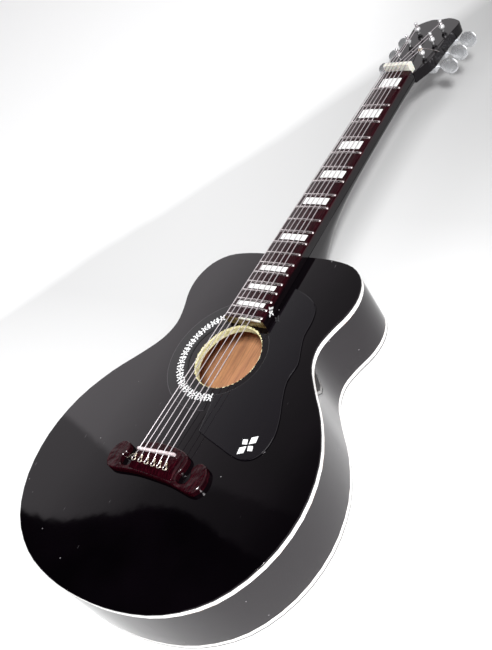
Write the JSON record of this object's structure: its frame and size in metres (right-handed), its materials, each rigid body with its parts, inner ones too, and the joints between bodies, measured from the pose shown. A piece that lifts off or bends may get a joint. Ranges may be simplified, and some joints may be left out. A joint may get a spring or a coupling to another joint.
{
  "type": "miniature acoustic guitar",
  "caption": "Black quarter-scale display acoustic guitar: hollow waisted body with a round sound hole, moustache bridge, fretted neck, wire strings and turning tuning keys.",
  "frame": {"origin": "centre of the bounding box, on the plane the back lies on", "axes": "+Y from the tail of the body towards the headstock, +Z out of the soundboard, +X towards the treble strings and the pickguard"},
  "size_m": [0.104, 0.2402, 0.0268],
  "materials": {
    "black_lacquer": "wood under high-gloss black lacquer",
    "white_binding": "white plastic strip, slightly uneven",
    "cream_nut": "cream plastic, satin",
    "red_brown_wood": "dark red-brown stain under gloss varnish",
    "raw_wood": "unfinished",
    "bright_steel": "bright plated wire and turned metal",
    "black_plastic": "gloss black sheet",
    "printed_film": "clear film with a white lace print",
    "white_inlay": "pearl white blocks in the fretboard and the print on the pickguard",
    "gold_wire": "pale gold wire eyes at the string ends"
  },
  "bodies": {
    "guitar": {"back": "black_lacquer", "back_binding": "white_binding", "bridge": "red_brown_wood", "fret_01": "bright_steel", "fret_02": "bright_steel", "fret_03": "bright_steel", "fret_04": "bright_steel", "fret_05": "bright_steel", "fret_06": "bright_steel", "fret_07": "bright_steel", "fret_08": "bright_steel", "fret_09": "bright_steel", "fret_10": "bright_steel", "fret_11": "bright_steel", "fret_12": "bright_steel", "fret_13": "bright_steel", "fret_14": "bright_steel", "fret_15": "bright_steel", "fret_16": "bright_steel", "fret_17": "bright_steel", "fret_18": "bright_steel", "fret_19": "bright_steel", "fret_20": "bright_steel", "fretboard": "red_brown_wood", "housing_bass_1": "bright_steel", "housing_bass_2": "bright_steel", "housing_bass_3": "bright_steel", "housing_treble_1": "bright_steel", "housing_treble_2": "bright_steel", "housing_treble_3": "bright_steel", "neck": "black_lacquer", "neck_block": "raw_wood", "nut": "cream_nut", "pickguard": "black_plastic", "rim": "black_lacquer", "rosette": "printed_film", "saddle": "white_binding", "soundboard": "black_lacquer", "string_1": "bright_steel", "string_2": "bright_steel", "string_3": "bright_steel", "string_4": "bright_steel", "string_5": "bright_steel", "string_6": "bright_steel", "tail_block": "raw_wood", "top_binding": "white_binding"},
    "key_bass_1": {"key_bass_1": "bright_steel"},
    "post_bass_1": {"post_bass_1": "bright_steel"},
    "key_bass_2": {"key_bass_2": "bright_steel"},
    "post_bass_2": {"post_bass_2": "bright_steel"},
    "key_bass_3": {"key_bass_3": "bright_steel"},
    "post_bass_3": {"post_bass_3": "bright_steel"},
    "key_treble_1": {"key_treble_1": "bright_steel"},
    "post_treble_1": {"post_treble_1": "bright_steel"},
    "key_treble_2": {"key_treble_2": "bright_steel"},
    "post_treble_2": {"post_treble_2": "bright_steel"},
    "key_treble_3": {"key_treble_3": "bright_steel"},
    "post_treble_3": {"post_treble_3": "bright_steel"}
  },
  "joints": [
    {"name": "key_bass_1_turn", "type": "hinge", "parent": "guitar", "child": "key_bass_1", "pos_m": [-0.009, 0.09654, 0.01672], "axis": [1, 0, 0], "continuous": true},
    {"name": "post_bass_1_turn", "type": "hinge", "parent": "guitar", "child": "post_bass_1", "pos_m": [-0.00485, 0.09588, 0.02175], "axis": [0, 0.0872, 0.9962], "continuous": true},
    {"name": "key_bass_2_turn", "type": "hinge", "parent": "guitar", "child": "key_bass_2", "pos_m": [-0.009, 0.10446, 0.01603], "axis": [1, 0, 0], "continuous": true},
    {"name": "post_bass_2_turn", "type": "hinge", "parent": "guitar", "child": "post_bass_2", "pos_m": [-0.00485, 0.1038, 0.02105], "axis": [0, 0.0872, 0.9962], "continuous": true},
    {"name": "key_bass_3_turn", "type": "hinge", "parent": "guitar", "child": "key_bass_3", "pos_m": [-0.009, 0.11218, 0.01535], "axis": [1, 0, 0], "continuous": true},
    {"name": "post_bass_3_turn", "type": "hinge", "parent": "guitar", "child": "post_bass_3", "pos_m": [-0.005, 0.11152, 0.02038], "axis": [0, 0.0872, 0.9962], "continuous": true},
    {"name": "key_treble_1_turn", "type": "hinge", "parent": "guitar", "child": "key_treble_1", "pos_m": [0.009, 0.09654, 0.01672], "axis": [1, 0, 0], "continuous": true},
    {"name": "post_treble_1_turn", "type": "hinge", "parent": "guitar", "child": "post_treble_1", "pos_m": [0.00485, 0.09588, 0.02175], "axis": [0, 0.0872, 0.9962], "continuous": true},
    {"name": "key_treble_2_turn", "type": "hinge", "parent": "guitar", "child": "key_treble_2", "pos_m": [0.009, 0.10446, 0.01603], "axis": [1, 0, 0], "continuous": true},
    {"name": "post_treble_2_turn", "type": "hinge", "parent": "guitar", "child": "post_treble_2", "pos_m": [0.00485, 0.1038, 0.02105], "axis": [0, 0.0872, 0.9962], "continuous": true},
    {"name": "key_treble_3_turn", "type": "hinge", "parent": "guitar", "child": "key_treble_3", "pos_m": [0.009, 0.11218, 0.01535], "axis": [1, 0, 0], "continuous": true},
    {"name": "post_treble_3_turn", "type": "hinge", "parent": "guitar", "child": "post_treble_3", "pos_m": [0.005, 0.11152, 0.02038], "axis": [0, 0.0872, 0.9962], "continuous": true}
  ],
  "couplings": [
    {"joint": "post_bass_1_turn", "follows": "key_bass_1_turn", "ratio": -0.071429},
    {"joint": "post_bass_2_turn", "follows": "key_bass_2_turn", "ratio": -0.071429},
    {"joint": "post_bass_3_turn", "follows": "key_bass_3_turn", "ratio": -0.071429},
    {"joint": "post_treble_1_turn", "follows": "key_treble_1_turn", "ratio": 0.071429},
    {"joint": "post_treble_2_turn", "follows": "key_treble_2_turn", "ratio": 0.071429},
    {"joint": "post_treble_3_turn", "follows": "key_treble_3_turn", "ratio": 0.071429}
  ]
}
